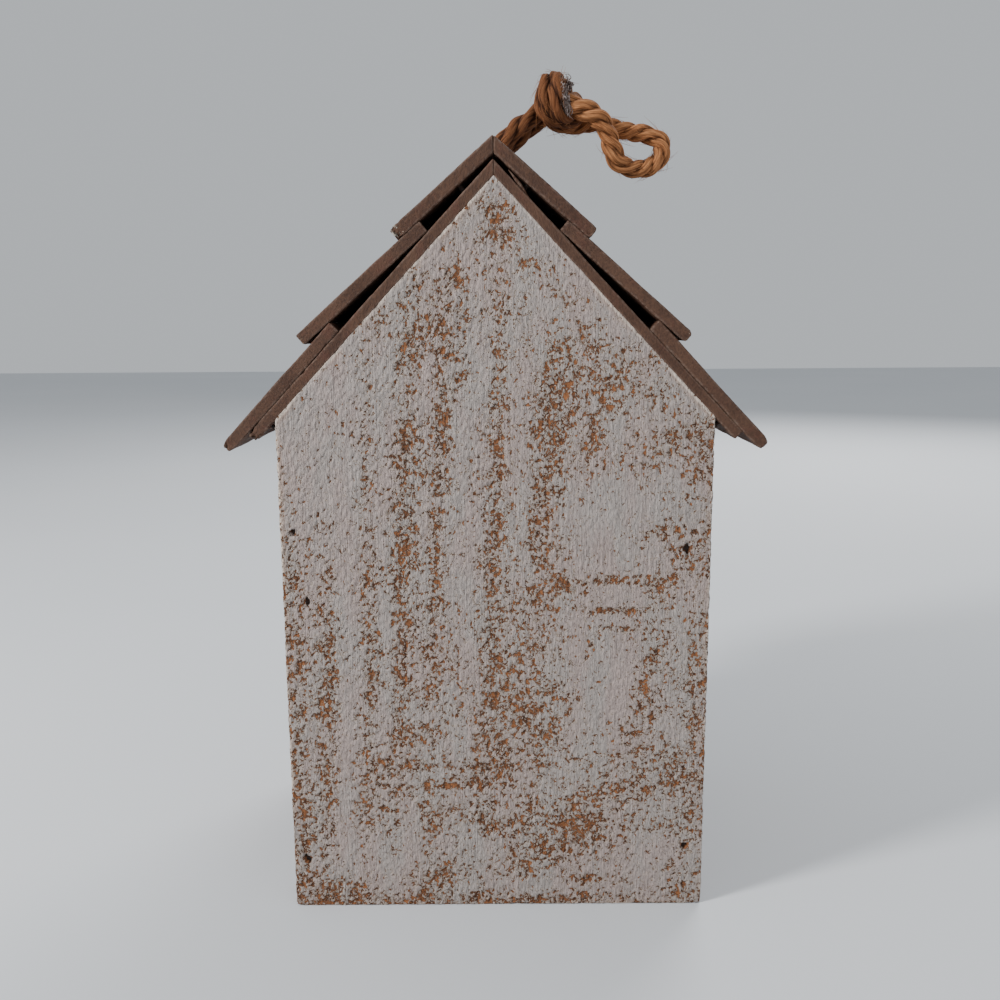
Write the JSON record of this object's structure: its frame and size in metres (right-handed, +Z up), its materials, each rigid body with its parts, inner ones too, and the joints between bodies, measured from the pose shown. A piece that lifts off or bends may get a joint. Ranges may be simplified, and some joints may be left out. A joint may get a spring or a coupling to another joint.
{
  "type": "birdhouse",
  "caption": "Small gabled nest box of nailed boards with a lapped slat roof, a round entrance, a dowel perch and a knotted rope hanger that swings at the ridge.",
  "frame": {"origin": "middle of the base, in the plane it stands on, halfway between the perch tip and the back", "axes": "+Z up, -Y out of the entrance, +Y out of the plain back, +X to the right as seen from the entrance"},
  "size_m": [0.1502, 0.128, 0.2471],
  "materials": {
    "white_paint": "chalky off-white paint, chipped and rubbed through to orange-brown wood",
    "brown_stain": "matte dark brown paint with worn edges",
    "nail_steel": "dull and slightly rusted",
    "jute_rope": "three twisted strands of coarse fibre"
  },
  "bodies": {
    "house": {"back_panel": "white_paint", "front_panel": "white_paint", "left_wall": "white_paint", "right_wall": "white_paint", "floor_board": "white_paint", "perch": "brown_stain", "deck_left": "brown_stain", "deck_right": "brown_stain", "slat_left_lower": "brown_stain", "slat_left_middle": "brown_stain", "slat_left_upper": "brown_stain", "slat_right_lower": "brown_stain", "slat_right_middle": "brown_stain", "slat_right_upper": "brown_stain", "back_nails": "nail_steel", "front_nails": "nail_steel", "floor_nails": "nail_steel", "deck_nails": "nail_steel", "slat_nails": "nail_steel", "stopper_knot": "jute_rope", "hanger_stub": "jute_rope"},
    "hanger": {"hanger_legs": "jute_rope", "hanger_knot": "jute_rope", "hanger_loop": "jute_rope"}
  },
  "joints": [
    {"name": "hanger_swing", "type": "hinge", "parent": "house", "child": "hanger", "pos_m": [0, 0.006, 0.22012], "axis": [0, 1, 0], "range_deg": [0, 90]}
  ]
}
